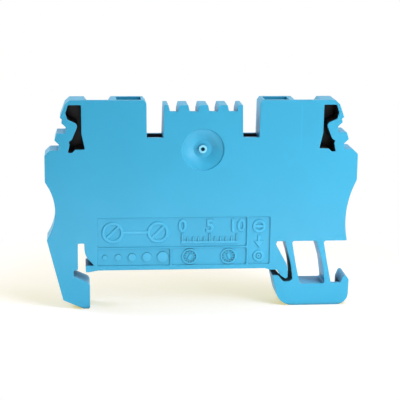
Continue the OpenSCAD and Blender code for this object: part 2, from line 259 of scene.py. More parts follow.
@dataclass(frozen=True)
class MouldedFinish:
    """Fine-grained moulded plastic. Each noise is given by its scale per metre and its detail."""

    name: str
    colour: Colour
    roughness: Span
    grain: Span
    grain_depth: float
    grain_strength: float = 0.35
    clouds: Span = (90.0, 3.0)
    cloud_swing: float = 0.03
    gloss: Span = (400.0, 4.0)
    specular: float = 0.35
    ior: float = 1.5
    # Boxes painted near-black as the shade deep in pockets and wells, and that colour.
    hollow_shade_boxes: tuple[ShadeBox, ...] = ()
    hollow_shade_colour: Colour = (0.030, 0.024, 0.026)
    # A lighter line painted along a sink mark as its highlight: how far it is mixed in and how much lighter.
    sink_highlights: tuple[ShadeBox, ...] = ()
    sink_highlight_share: float = 0.5
    sink_highlight_gain: float = 1.25
    # The nub's rim is painted paler, as its highlight.
    rim_highlights: tuple[ShadeBox, ...] = ()
    rim_highlight_colour: Colour = (0.26, 0.72, 0.95)
    # Box of the feet, whose gaps get a deeper painted shade.
    gap_shade_part: ShadeBox | None = None
    # Colour of the painted shade in corners and gaps, and how far it raises the roughness.
    corner_gap_shade_colour: Colour = (0.02, 0.03, 0.035)
    corner_gap_shade_dulling: float = 0.5

    def build(self) -> bpy.types.Material:
        """Builds the node material.

        Returns:
            The material.
        """
        material, graph, shader = new_material(self.name)
        where = graph.add("ShaderNodeTexCoord")["Object"]
        # Painted shade in corners and gaps darkens the colour and raises the roughness.
        corner_gap_shade = self.corner_gap_shade(graph, where)
        colour = graph.mix_colours(corner_gap_shade, self.tint(graph, where), self.corner_gap_shade_colour)
        # The pockets and wells get painted shade, near-black.
        if self.hollow_shade_boxes:
            colour = graph.mix_colours(self.hollow_shade_mask(graph, where), colour, self.hollow_shade_colour)
        graph.link(colour, shader.inputs["Base Color"])
        gloss = graph.spread(graph.noise(where, *self.gloss), *self.roughness)
        dulled = graph.math("ADD", gloss, graph.math("MULTIPLY", corner_gap_shade, self.corner_gap_shade_dulling))
        graph.link(dulled, shader.inputs["Roughness"])
        grain = graph.bump(graph.noise(where, *self.grain), self.grain_strength, self.grain_depth)
        graph.link(grain, shader.inputs["Normal"])
        shader.inputs["IOR"].default_value = self.ior
        shader.inputs["Specular IOR Level"].default_value = self.specular
        return material

    def toned(self, gain: float) -> Colour:
        """The plastic's colour times a gain, at most 1."""
        return tuple(min(1.0, c * gain) for c in self.colour)

    def tint(self, graph: Graph, where: Socket) -> Socket:
        """Builds the plastic's colour before painted shade: clouds, and painted highlights along the sink
        mark and on the nub's rim.

        Args:
            graph: The material's graph.
            where: Object coordinates.

        Returns:
            The colour's socket.
        """
        clouds = graph.spread(graph.noise(where, *self.clouds), 0.0, 1.0)
        low, high = (self.toned(1.0 + swing) for swing in (-self.cloud_swing, self.cloud_swing))
        colour = graph.mix_colours(clouds, low, high)
        # Painted highlight: a lighter line along the sink mark.
        for line in self.sink_highlights:
            mask = graph.math("MULTIPLY", line.mask(graph, where), self.sink_highlight_share)
            colour = graph.mix_colours(mask, colour, self.toned(self.sink_highlight_gain))
        # Painted highlight: the nub's rim is painted paler.
        for mark in self.rim_highlights:
            colour = graph.mix_colours(mark.mask(graph, where), colour, self.rim_highlight_colour)
        return colour

    def corner_gap_shade(self, graph: Graph, where: Socket) -> Socket:
        """Finds where shade is painted: in tight corners, and in the gaps of the feet's box.

        Args:
            graph: The material's graph.
            where: Object coordinates.

        Returns:
            The socket of the painted shade, which is 0 where none is painted.
        """
        corner_gap_shade = TIGHT_CORNER_SHADE.depth(graph)
        if self.gap_shade_part:
            gap_shade = graph.math("MULTIPLY", FOOT_GAP_SHADE.depth(graph), self.gap_shade_part.mask(graph, where))
            corner_gap_shade = graph.math("MAXIMUM", corner_gap_shade, gap_shade)
        return corner_gap_shade

    def hollow_shade_mask(self, graph: Graph, where: Socket) -> Socket:
        """Joins the boxes of painted shade, each of which holds at both ends because X is made positive.

        Args:
            graph: The material's graph.
            where: Object coordinates.

        Returns:
            The mask's socket.
        """
        x, y, z = graph.parts(where)
        mirrored = graph.vector(graph.math("ABSOLUTE", x), y, z)
        first, *others = [box.mask(graph, mirrored) for box in self.hollow_shade_boxes]
        for mask in others:
            first = graph.math("MAXIMUM", first, mask)
        return first


@dataclass(frozen=True)
class StripFinish:
    """Rolled metal strip with fine lines along it. Its stains are given by scale per metre and detail."""

    name: str
    colour: Colour
    dull_colour: Colour
    roughness: Span
    lines: Place
    line_detail: float = 3.0
    line_depth: float = 1e-6
    line_strength: float = 0.3
    stains: Span = (600.0, 4.0)

    def build(self) -> bpy.types.Material:
        """Builds the node material.

        Returns:
            The material.
        """
        material, graph, shader = new_material(self.name)
        where = graph.add("ShaderNodeTexCoord")["Object"]
        stretched = graph.add("ShaderNodeMapping", {"Vector": where, "Scale": self.lines})[0]
        rolled = graph.noise(stretched, 1.0, self.line_detail)
        stains = graph.spread(graph.noise(where, *self.stains), 0.0, 1.0)
        graph.link(graph.mix_colours(stains, self.colour, self.dull_colour), shader.inputs["Base Color"])
        graph.link(graph.spread(rolled, *self.roughness), shader.inputs["Roughness"])
        graph.link(graph.bump(rolled, self.line_strength, self.line_depth), shader.inputs["Normal"])
        shader.inputs["Metallic"].default_value = 1.0
        return material


# Painted shade: the arm pockets and the jumper wells are painted near-black.
POCKET_HEAD = ShadeBox((20.93, -2.3, 34.1), (24.55, 2.4, 37.62))
POCKET_FOOT = ShadeBox((20.93, -2.3, 28.8), (24.2, 2.4, 34.2))
JUMPER_WELL = ShadeBox((7.1, -1.85, 26.3), (10.2, 1.95, 31.6))
# Painted highlight along the sink mark on the tower's front.
TOWER_SINK = ShadeBox((17.7, -2.6, 29.5), (17.8, -2.5, 37.2), edge=0.12)
# The feet, whose gaps get a deeper painted shade.
FEET = ShadeBox((-30.0, -3.0, -1.0), (30.0, 3.0, 6.6), edge=0.8)
# The nub's rim, painted paler as its highlight.
NUB_RIM = ShadeBox((-0.9, -2.2, 28.55), (0.9, -1.9, 30.35))
BLUE_PLASTIC = MouldedFinish(
    name="moulded_blue_polyamide",
    colour=(0.0405, 0.396, 0.640),
    roughness=(0.34, 0.44),
    grain=(7000.0, 2.0),
    grain_depth=2e-5,
    hollow_shade_boxes=(POCKET_HEAD, POCKET_FOOT, JUMPER_WELL),
    sink_highlights=(TOWER_SINK,),
    rim_highlights=(NUB_RIM,),
    gap_shade_part=FEET,
)
# Lighter than the housing's blue: a painted highlight on the raised marks.
HIGHLIT_RELIEF_PLASTIC = MouldedFinish(
    name="moulded_blue_relief",
    colour=(0.0535, 0.439, 0.700),
    roughness=(0.30, 0.40),
    grain=(9000.0, 2.0),
    grain_depth=1e-5,
)
BRIGHT_TIN = StripFinish(
    name="bright_tin_plating",
    colour=(0.74, 0.73, 0.70),
    dull_colour=(0.62, 0.61, 0.58),
    roughness=(0.22, 0.34),
    lines=(300.0, 9000.0, 300.0),
)
SPRING_STRIP = StripFinish(
    name="rolled_spring_strip",
    colour=(0.60, 0.61, 0.62),
    dull_colour=(0.50, 0.51, 0.53),
    roughness=(0.2, 0.32),
    lines=(300.0, 12000.0, 300.0),
)


def new_piece(name: str, data: bpy.types.ID) -> bpy.types.Object:
    """Links a new object at the origin.

    Args:
        name: Its name.
        data: Its mesh, curve, lamp or camera.

    Returns:
        The object.
    """
    piece = bpy.data.objects.new(name, data)
    bpy.context.scene.collection.objects.link(piece)
    return piece


def bake(piece: bpy.types.Object) -> bpy.types.Object:
    """Turns a piece's modifiers into plain mesh.

    Args:
        piece: A mesh object with modifiers.

    Returns:
        The same object, without modifiers.
    """
    graph = bpy.context.evaluated_depsgraph_get()
    mesh = bpy.data.meshes.new_from_object(piece.evaluated_get(graph))
    old = piece.data
    piece.modifiers.clear()
    piece.data = mesh
    mesh.name = piece.name
    bpy.data.meshes.remove(old)
    return piece


def soften(piece: bpy.types.Object, width_mm: float, segments: int, angle: float) -> None:
    """Adds a bevel with clean normals to a piece's sharp edges.

    Args:
        piece: The piece.
        width_mm: Width of the bevel.
        segments: Its number of segments.
        angle: Angle in degrees past which an edge is sharp.
    """
    bevel = piece.modifiers.new("soft_edges", "BEVEL")
    bevel.width = width_mm * MM
    bevel.segments = segments
    bevel.limit_method = "ANGLE"
    bevel.angle_limit = math.radians(angle)
    bevel.use_clamp_overlap = False
    bevel.loop_slide = False
    bevel.harden_normals = True


def smooth_by_angle(mesh: bpy.types.Mesh, angle: float) -> None:
    """Shades a mesh smooth, with sharp edges past an angle in degrees."""
    mesh.shade_smooth()
    mesh.set_sharp_from_angle(angle=math.radians(angle))


@dataclass
class Housing:
    """The blue moulding: a merged copy of its CAD solid with softened mould edges."""

    node: str = "housing"
    edge_mm: float = 0.07
    edge_segments: int = 2
    crease: float = 20.0
    front_y: float = -2.55
    dimple: Point = (0.0, 29.45)
    dimple_r: float = 3.825
    dimple_floor: Span = (1.65, -1.55)
    rim_wall: Span = (0.1, 0.22)
    cone_slack: float = 0.01
    pry_corner: Point = (26.65, 6.051)
    pry_reach: float = 0.6
    pry_rounding: float = 1.7

    def round_pry_hook(self, form: bmesh.types.BMesh) -> None:
        """Widens the radius of the pry hook's tip, which lies near the corner of its two flanks.

        Args:
            form: The moulding's merged mesh.
        """
        corner = Vector((self.pry_corner[0], 0.0, self.pry_corner[1])) * MM
        for vert in form.verts:
            out = (vert.co - corner) * Vector((1.0, 0.0, 1.0))
            if out.length < self.pry_reach * MM:
                vert.co += out * (self.pry_rounding - 1.0)

    def step_rim(self, form: bmesh.types.BMesh) -> None:
        """Gives the dimple's cone the short steep wall that its rim has, by its run and drop in mm.

        Args:
            form: The moulding's merged mesh.
        """
        middle = Vector((self.dimple[0], 0.0, self.dimple[1])) * MM
        floor_r, floor_y = self.dimple_floor

        def on_cone(vert: bmesh.types.BMVert) -> bool:
            """Tells whether a vertex lies on the cone.

            Args:
                vert: The vertex.

            Returns:
                True on the cone.
            """
            place = (vert.co - middle) / MM
            share = (math.hypot(place.x, place.z) - floor_r) / (self.dimple_r - floor_r)
            level = floor_y + share * (self.front_y - floor_y)
            return abs(share - 0.5) < 0.5 + self.cone_slack and abs(place.y - level) < self.cone_slack

        cone = [face for face in form.faces if all(on_cone(v) for v in face.verts)]
        cone = [face for face in cone if len({round(v.co.y, 7) for v in face.verts}) > 1]
        parts = [*{v for f in cone for v in f.verts}, *{e for f in cone for e in f.edges}, *cone]
        run, drop = self.rim_wall
        level = Vector((0.0, (self.front_y + drop) * MM, 0.0))
        cut = bmesh.ops.bisect_plane(form, geom=parts, dist=CUT_M, plane_co=level, plane_no=(0.0, 1.0, 0.0))
        for vert in cut["geom_cut"]:
            if isinstance(vert, bmesh.types.BMVert):
                out = (vert.co - middle) * Vector((1.0, 0.0, 1.0))
                vert.co += out.normalized() * ((self.dimple_r - run) * MM - out.length)

    def build(self, material: bpy.types.Material) -> bpy.types.Object:
        """Builds the moulding's piece.

        Args:
            material: Finish of the moulding.

        Returns:
            The piece, which replaces the CAD node.
        """
        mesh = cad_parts[self.node].data.copy()
        mesh.name = "housing_moulding"
        mesh.materials.clear()
        mesh.materials.append(material)
        form = bmesh.new()
        form.from_mesh(mesh)
        bmesh.ops.remove_doubles(form, verts=form.verts, dist=MERGE_M)
        self.step_rim(form)
        self.round_pry_hook(form)
        form.to_mesh(mesh)
        form.free()
        if "custom_normal" in mesh.attributes:
            mesh.attributes.remove(mesh.attributes["custom_normal"])
        piece = new_piece("housing_moulding", mesh)
        smooth_by_angle(mesh, self.crease)
        soften(piece, self.edge_mm, self.edge_segments, self.crease)
        bake(piece)
        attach(piece, Body.BLOCK.value)
        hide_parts(self.node)
        return piece


@dataclass
class Ribbon:
    """A bent strip: a centre line in X and Z, in mm, and its span in Y."""

    path: list[Point]
    span: Span
    thickness: float
    core: Span | None = None
    narrow: list[Span] = field(default_factory=list)
    holes: list[Span] = field(default_factory=list)
    edge_mm: float = 0.05
    edge_segments: int = 2
    edge_angle: float = 40.0
    crease: float = 35.0

    def stations(self) -> list[float]:
        """Measures the path.

        Returns:
            Distance of each point along the path, in mm.
        """
        total, found = 0.0, [0.0]
        for a, b in zip(self.path, self.path[1:]):
            total += math.dist(a, b)
            found.append(total)
        return found

    def refine(self) -> None:
        """Adds a point to the path at each end of a hole or a narrow stretch."""
        for mark in (mark for pair in self.narrow + self.holes for mark in pair):
            along = self.stations()
            for i, (a, b) in enumerate(zip(along, along[1:])):
                if a + STEP_MM < mark < b - STEP_MM:
                    t = (mark - a) / (b - a)
                    p, q = self.path[i], self.path[i + 1]
                    self.path.insert(i + 1, (p[0] + (q[0] - p[0]) * t, p[1] + (q[1] - p[1]) * t))
                    break

    def build(self, name: str, material: bpy.types.Material) -> bpy.types.Object:
        """Builds the strip as a closed mesh with softened edges.

        Args:
            name: Name of the piece.
            material: Finish of the strip.

        Returns:
            The piece, at rest in the CAD frame.
        """
        self.refine()
        along = self.stations()
        across = sorted({*self.span, *(self.core or ())})
        form = bmesh.new()
        rows = [[form.verts.new((x * MM, y * MM, z * MM)) for y in across] for x, z in self.path]
        for i in range(len(self.path) - 1):
            middle = (along[i] + along[i + 1]) / 2
            for j in range(len(across) - 1):
                inner = self.core is not None and j == across.index(self.core[0])
                in_narrow = any(a < middle < b for a, b in self.narrow)
                in_hole = any(a < middle < b for a, b in self.holes)
                if (in_narrow and not inner) or (in_hole and inner):
                    continue
                form.faces.new((rows[i][j], rows[i + 1][j], rows[i + 1][j + 1], rows[i][j + 1]))
        loose = [v for v in form.verts if not v.link_faces]
        bmesh.ops.delete(form, geom=loose, context="VERTS")
        mesh = bpy.data.meshes.new(name)
        form.to_mesh(mesh)
        form.free()
        mesh.materials.append(material)
        smooth_by_angle(mesh, self.crease)
        piece = new_piece(name, mesh)
        wall = piece.modifiers.new("strip_thickness", "SOLIDIFY")
        wall.thickness = self.thickness * MM
        wall.offset = 0.0
        wall.use_even_offset = True
        soften(piece, self.edge_mm, self.edge_segments, self.edge_angle)
        return bake(piece)


def arc(centre: Point, radius: float, start: float, stop: float, step: float = 6.0) -> list[Point]:
    """Points of an arc.

    Args:
        centre: Its centre in X and Z, in mm.
        radius: Its radius in mm.
        start: First angle in degrees.
        stop: Last angle in degrees.
        step: Largest turn between points in degrees.

    Returns:
        The points, ends included.
    """
    count = max(1, math.ceil(abs(stop - start) / step))
    angles = [math.radians(start + (stop - start) * i / count) for i in range(count + 1)]
    return [(centre[0] + radius * math.cos(a), centre[1] + radius * math.sin(a)) for a in angles]


@dataclass
class CurrentBar:
    """The tinned strip that joins the clamps, with a leg at each end."""

    node: str = "current_bar"
    leg_x: float = 16.7
    run_z: float = 16.9
    leg_top: float = 23.5
    bend: float = 1.3
    thickness: float = 1.0
    span: Span = (-1.65, 1.85)
    tongue: Span = (-0.95, 1.15)
    hole_x: float = 8.65
    hole_w: float = 2.0
    edge_mm: float = 0.06

    def build(self, material: bpy.types.Material) -> bpy.types.Object:
        """Builds the bar's piece.

        Args:
            material: Its finish.

        Returns:
            The piece, which replaces the CAD node.
        """
        bend = arc((self.leg_x - self.bend, self.run_z + self.bend), self.bend, 0, -90)
        half = [(self.leg_x, self.leg_top), *bend]
        path = half + [(-x, z) for x, z in reversed(half)]
        bar = Ribbon(path, self.span, self.thickness, self.tongue, edge_mm=self.edge_mm)
        total = bar.stations()[-1]
        tongue_l = self.leg_top - self.run_z - self.bend
        bar.narrow = [(0.0, tongue_l), (total - tongue_l, total)]
        middles = [total / 2 + side.value * self.hole_x for side in End]
        bar.holes = [(middle - self.hole_w / 2, middle + self.hole_w / 2) for middle in middles]
        piece = bar.build("current_bar_strip", material)
        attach(piece, Body.BLOCK.value)
        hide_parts(self.node)
        return piece


@dataclass
class ClampSpring:
    """One tension clamp: a contact leg and bow, and a window leg that moves as one."""

    end: End
    leg_x: float = 15.9
    clamp_x: float = 11.7
    bow_z: float = 27.9
    window_z: float = 19.6
    seam_z: float = 22.6
    bend: float = 0.7
    tip_x: float = 18.3
    thickness: float = 0.4
    span: Span = (-1.65, 1.85)
    tongue: Span = (-0.95, 1.15)
    tongue_l: float = 2.2
    tongue_drop: float = 1.0
    window: Span = (-1.1, 1.3)
    window_x: Span = (13.5, 17.3)

    @property
    def node(self) -> str:
        """Name of the CAD node."""
        return f"clamp_spring_{self.end.name.lower()}"

    @property
    def body(self) -> str:
        """Name of the body that the moving leg rides on."""
        return (Body.SPRING_LEFT if self.end is End.LEFT else Body.SPRING_RIGHT).value

    def turned(self, path: list[Point]) -> list[Point]:
        """The path on this spring's own end of the block."""
        return [(x * self.end.value, z) for x, z in path]

    def build(self, material: bpy.types.Material) -> list[bpy.types.Object]:
        """Builds the spring's two pieces.

        Args:
            material: Finish of the strip.

        Returns:
            The bow piece and the window piece.
        """
        radius = (self.leg_x - self.clamp_x) / 2
        middle = self.leg_x - radius
        low = self.window_z - self.tongue_drop
        upper = [(self.leg_x, low), *arc((middle, self.bow_z), radius, 0, 180), (self.clamp_x, self.seam_z)]
        bow = Ribbon(self.turned(upper), self.span, self.thickness, self.tongue)
        bow.narrow = [(0.0, self.tongue_l)]
        bow_piece = bow.build(f"spring_bow_{self.end.name.lower()}", material)
        lower = [
            (self.clamp_x, self.seam_z),
            *arc((self.clamp_x + self.bend, self.window_z + self.bend), self.bend, 180, 270),
            (self.tip_x, self.window_z),
        ]
        leg = Ribbon(self.turned(lower), self.span, self.thickness, self.window)
        total = leg.stations()[-1]
        leg.holes = [tuple(total - (self.tip_x - x) for x in self.window_x)]
        leg_piece = leg.build(f"spring_window_{self.end.name.lower()}", material)
        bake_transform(bow_piece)
        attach(leg_piece, self.body)
        for piece in (bow_piece, leg_piece):
            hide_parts(self.node)
        return [bow_piece, leg_piece]


class Pattern:
    """A geometry-nodes tree whose named inputs are set before it is first evaluated."""

    def __init__(self, name: str, inputs: dict[str, str]) -> None:
        """Makes the tree.

        Args:
            name: Name of the tree.
            inputs: Socket type of each named input.
        """
        self.tree = bpy.data.node_groups.new(name, "GeometryNodeTree")
        self.tree.interface.new_socket("Geometry", in_out="INPUT", socket_type="NodeSocketGeometry")
        self.tree.interface.new_socket("Geometry", in_out="OUTPUT", socket_type="NodeSocketGeometry")
        for key, kind in inputs.items():
            self.tree.interface.new_socket(key, in_out="INPUT", socket_type=kind)
        self.graph = Graph(self.tree)
        self.inputs = self.graph.add("NodeGroupInput")

    def instances(self, points: Socket, shape: Socket, **turned: Socket) -> None:
        """Puts a shape on each point, moves the whole to its place and ends the tree.

        Args:
            points: The points.
            shape: The shape to repeat.
            turned: Scale or Rotation of each copy.
        """
        add, given = self.graph.add, self.inputs
        copies = add("GeometryNodeInstanceOnPoints", {"Points": points, "Instance": shape, **turned})[0]
        placed = add("GeometryNodeTransform", {"Geometry": copies, "Translation": given["Place"]})[0]
        real = add("GeometryNodeRealizeInstances", {0: placed})[0]
        dressed = add("GeometryNodeSetMaterial", {"Geometry": real, "Material": given["Finish"]})[0]
        add("NodeGroupOutput", {0: dressed})

    def run(
        self, name: str, values: dict[str, object], points: list[Vector] | None = None
    ) -> bpy.types.Object:
        """Runs the tree on a new object.

        Args:
            name: Name of the object.
            values: A value for each named input.
            points: Vertices of the mesh that the tree starts from.

        Returns:
            The object, as plain mesh.
        """
        mesh = bpy.data.meshes.new(name)
        mesh.from_pydata(points or [], [], [])
        piece = new_piece(name, mesh)
        modifier = piece.modifiers.new(self.tree.name, "NODES")
        modifier.node_group = self.tree
        for item in self.tree.interface.items_tree:
            if item.in_out == "INPUT" and item.name in values:
                modifier[item.identifier] = values[item.name]
        return bake(piece)


PATTERN_ENDS = {"Place": "NodeSocketVector", "Finish": "NodeSocketMaterial"}


def tick_row() -> Pattern:
    """Builds the tree of a gauge: a row of ticks, some of them longer.

    Returns:
        The tree.
    """
    floats = dict.fromkeys(("Pitch", "Width", "Length", "Long", "Relief"), "NodeSocketFloat")
    row = Pattern("tick_row", {"Count": "NodeSocketInt", **floats, **PATTERN_ENDS})
    graph, given = row.graph, row.inputs
    pitch = graph.vector(given["Pitch"], 0.0, 0.0)
    line = graph.add("GeometryNodeMeshLine", {"Count": given["Count"], "Offset": pitch}, mode="OFFSET")[0]
    index = graph.add("GeometryNodeInputIndex")[0]
    is_long = graph.math("COMPARE", graph.math("MODULO", index, LONG_EVERY), 0.0)
    extra = graph.math("SUBTRACT", given["Long"], 1.0)
    growth = graph.math("ADD", 1.0, graph.math("MULTIPLY", is_long, extra))
    lift = graph.math("MULTIPLY", growth, graph.math("DIVIDE", given["Length"], 2.0))
    raised = {"Geometry": line, "Offset": graph.vector(0.0, 0.0, lift)}
    points = graph.add("GeometryNodeSetPosition", raised)[0]
    size = graph.vector(given["Width"], given["Relief"], given["Length"])
    tick = graph.add("GeometryNodeMeshCube", {"Size": size})[0]
    row.instances(points, tick, Scale=graph.vector(1.0, 1.0, growth))
    return row


def tick_ring() -> Pattern:
    """Builds the tree of a dial: ticks that point out from a centre.

    Returns:
        The tree.
    """
    floats = dict.fromkeys(("Radius", "Width", "Length", "Relief"), "NodeSocketFloat")
    ring = Pattern("tick_ring", {"Count": "NodeSocketInt", **floats, **PATTERN_ENDS})
    graph, given = ring.graph, ring.inputs
    line = graph.add("GeometryNodeMeshLine", {"Count": given["Count"]}, mode="OFFSET")[0]
    share = graph.math("DIVIDE", graph.add("GeometryNodeInputIndex")[0], given["Count"])
    angle = graph.math("MULTIPLY", share, math.tau)
    across = graph.math("MULTIPLY", given["Radius"], graph.math("COSINE", angle))
    up = graph.math("MULTIPLY", given["Radius"], graph.math("SINE", angle))
    placed = {"Geometry": line, "Position": graph.vector(across, 0.0, up)}
    points = graph.add("GeometryNodeSetPosition", placed)[0]
    size = graph.vector(given["Length"], given["Relief"], given["Width"])
    tick = graph.add("GeometryNodeMeshCube", {"Size": size})[0]
    turn = {"Axis": (0.0, 1.0, 0.0), "Angle": graph.math("MULTIPLY", angle, -1.0)}
    ring.instances(points, tick, Rotation=graph.add("FunctionNodeAxisAngleToRotation", turn)[0])
    return ring


def disc_set(name: str, sides: int = 32) -> Pattern:
    """Builds the tree of flat discs on given points, each a step larger than the one before.

    Args:
        name: Name of the tree.
        sides: Number of sides of a disc.

    Returns:
        The tree.
    """
    floats = dict.fromkeys(("Radius", "Growth", "Relief"), "NodeSocketFloat")
    discs = Pattern(name, {**floats, **PATTERN_ENDS})
    graph, given = discs.graph, discs.inputs
    form = {"Vertices": sides, "Radius": given["Radius"], "Depth": given["Relief"]}
    flat = graph.add("GeometryNodeMeshCylinder", form)[0]
    upright = {"Geometry": flat, "Rotation": (math.pi / 2, 0.0, 0.0)}
    disc = graph.add("GeometryNodeTransform", upright)[0]
    step = graph.math("MULTIPLY", graph.add("GeometryNodeInputIndex")[0], given["Growth"])
    size = graph.math("ADD", 1.0, step)
    discs.instances(given["Geometry"], disc, Scale=graph.vector(size, 1.0, size))
    return discs


def grown(outline: list[Point], margin: float) -> list[Point]:
    """Moves each side of a convex outline outwards.

    Args:
        outline: Its corners.
        margin: The distance in mm.

    Returns:
        The new corners, in the same order.
    """
    pairs = list(zip(outline, outline[1:] + outline[:1]))
    turn = math.copysign(1.0, sum(a[0] * b[1] - b[0] * a[1] for a, b in pairs))
    ways = [(Vector(b) - Vector(a)).normalized() for a, b in pairs]
    starts = [Vector(a) + Vector((way.y, -way.x)) * margin * turn for (a, _), way in zip(pairs, ways)]
    corners = []
    for i, (start, way) in enumerate(zip(starts, ways)):
        reach = (start - starts[i - 1]).cross(way) / ways[i - 1].cross(way)
        corners.append(tuple(starts[i - 1] + ways[i - 1] * reach))
    return corners


class ReliefMesh:
    """Collects raised shapes with drafted sides, drawn in X and Z in mm, into one mesh."""

    BAR_STEP = 0.02
    CAP_SHARE = 0.7
    CURVE_STEPS = 3
    CREASE = 30.0

    def __init__(self, base_y: float, top_y: float, draft: float) -> None:
        """Starts an empty mesh.

        Args:
            base_y: Level of the shapes' feet in mm.
            top_y: Level of their tops in mm.
            draft: How far the feet spread in mm.
        """
        self.form = bmesh.new()
        self.levels = (base_y, top_y)
        self.draft = draft

    def loop(self, outline: list[Point], level: float) -> list[bmesh.types.BMVert]:
        """Adds the points of an outline at a level and returns them."""
        return [self.form.verts.new((x * MM, level * MM, z * MM)) for x, z in outline]

    def plate(self, outline: list[Point], lower: float = 0.0) -> None:
        """Adds a closed plate.

        Args:
            outline: Its convex outline.
            lower: How far its top is below the other tops in mm.
        """
        base = self.loop(grown(outline, self.draft), self.levels[0])
        top = self.loop(outline, self.levels[1] + lower)
        self.form.faces.new(base)
        self.form.faces.new(list(reversed(top)))
        for i in range(len(outline)):
            j = (i + 1) % len(outline)
            self.form.faces.new((base[j], base[i], top[i], top[j]))

    def ring(self, centre: Point, outer: float, inner: float, sides: int = 40) -> None:
        """Adds a flat ring.

        Args:
            centre: Its centre.
            outer: Its outer radius.
            inner: Its inner radius.
            sides: Its number of sides.
        """
        base_y, top_y = self.levels
        spread = self.draft
        rims = [(outer + spread, base_y), (inner - spread, base_y), (outer, top_y), (inner, top_y)]
        loops = [self.loop(arc(centre, r, 0, 360 - 360 / sides, 360 / sides), level) for r, level in rims]
        for a, b in ((0, 1), (1, 3), (3, 2), (2, 0)):
            for i in range(sides):
                j = (i + 1) % sides
                self.form.faces.new((loops[a][i], loops[b][i], loops[b][j], loops[a][j]))

    def bar(self, start: Point, stop: Point, width: float) -> None:
        """Adds a straight bar, a little lower than the rings that it may run into.

        Args:
            start: Middle of one end.
            stop: Middle of the other end.
            width: Its width.
        """
        way = Vector((stop[0] - start[0], stop[1] - start[1])).normalized() * width / 2
        side = (-way.y, way.x)
        corners = [(start, 1), (start, -1), (stop, -1), (stop, 1)]
        self.plate([(p[0] + side[0] * k, p[1] + side[1] * k) for p, k in corners], self.BAR_STEP)

    def number(self, text: str, place: Point, height: float) -> None:
        """Adds raised digits centred on a place.

        Args:
            text: The digits.
            place: Middle of their foot, in mm.
            height: Their height in mm.
        """
        curve = bpy.data.curves.new("gauge_number", "FONT")
        curve.body = text
        curve.size = height / self.CAP_SHARE * MM
        curve.align_x = "CENTER"
        curve.extrude = (abs(self.levels[1] - self.levels[0]) - self.draft) * MM
        curve.bevel_depth = self.draft * MM
        curve.bevel_resolution = 0
        curve.resolution_u = self.CURVE_STEPS
        holder = new_piece("gauge_number", curve)
        mesh = bpy.data.meshes.new_from_object(holder.evaluated_get(bpy.context.evaluated_depsgraph_get()))
        upright = Matrix.Rotation(math.pi / 2, 4, "X")
        mesh.transform(Matrix.Translation((place[0] * MM, self.levels[0] * MM, place[1] * MM)) @ upright)
        self.form.from_mesh(mesh)
        bpy.data.objects.remove(holder)
        bpy.data.curves.remove(curve)
        bpy.data.meshes.remove(mesh)

    def finish(self, name: str, material: bpy.types.Material) -> bpy.types.Object:
        """Ends the mesh.

        Args:
            name: Name of the piece.
            material: Its finish.

        Returns:
            The piece.
        """
        mesh = bpy.data.meshes.new(name)
        bmesh.ops.remove_doubles(self.form, verts=self.form.verts, dist=MERGE_M)
        bmesh.ops.recalc_face_normals(self.form, faces=self.form.faces)
        self.form.to_mesh(mesh)
        self.form.free()
        mesh.materials.append(material)
        smooth_by_angle(mesh, self.CREASE)
        return new_piece(name, mesh)


